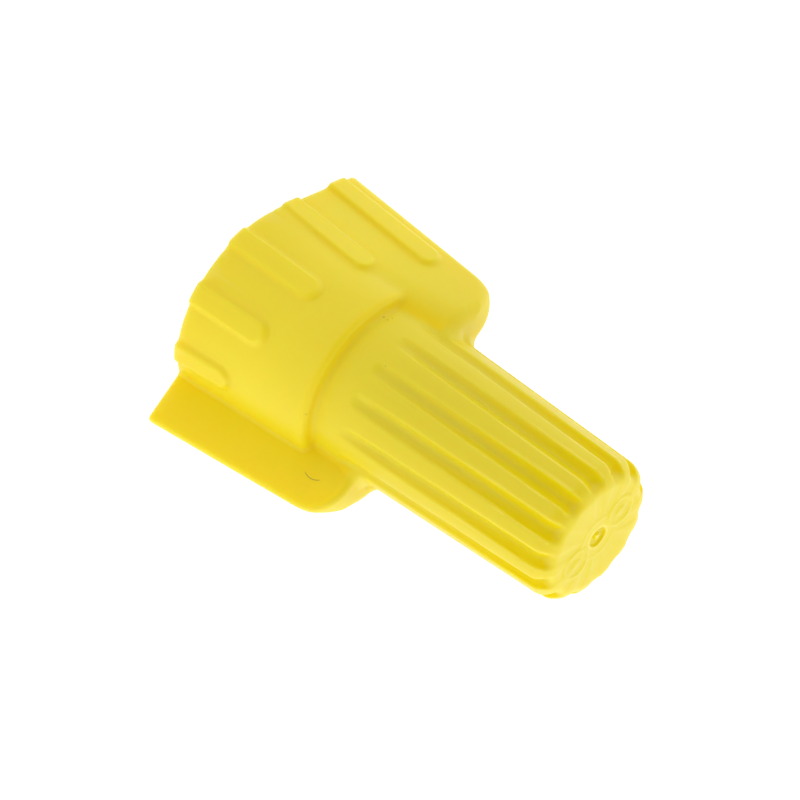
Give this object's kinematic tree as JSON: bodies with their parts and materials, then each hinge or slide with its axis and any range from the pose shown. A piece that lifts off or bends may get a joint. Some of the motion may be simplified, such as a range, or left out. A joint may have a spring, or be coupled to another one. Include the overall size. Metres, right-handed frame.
{
  "type": "twist wire connector",
  "caption": "Winged twist-on wire connector: fluted plastic cap with swept wings, raised grip bars and an open hood, with a tapered square-wire spring floating in its bore.",
  "frame": {"origin": "centre of the open mouth, in the plane of the rim", "axes": "+Z along the cap's axis from the mouth to the closed tip, X along the two wings"},
  "size_m": [0.0192, 0.0136, 0.028],
  "materials": {
    "cap_plastic": "yellow polypropylene, satin, slightly translucent at thin edges",
    "spring_steel": "zinc-plated square spring wire"
  },
  "bodies": {
    "shell": {"shell": "cap_plastic"},
    "spring": {"spring": "spring_steel"}
  },
  "joints": [
    {"name": "spring_float", "type": "slide", "parent": "shell", "child": "spring", "axis": [0, 0, 1], "range_m": [0, 0.0004]}
  ]
}
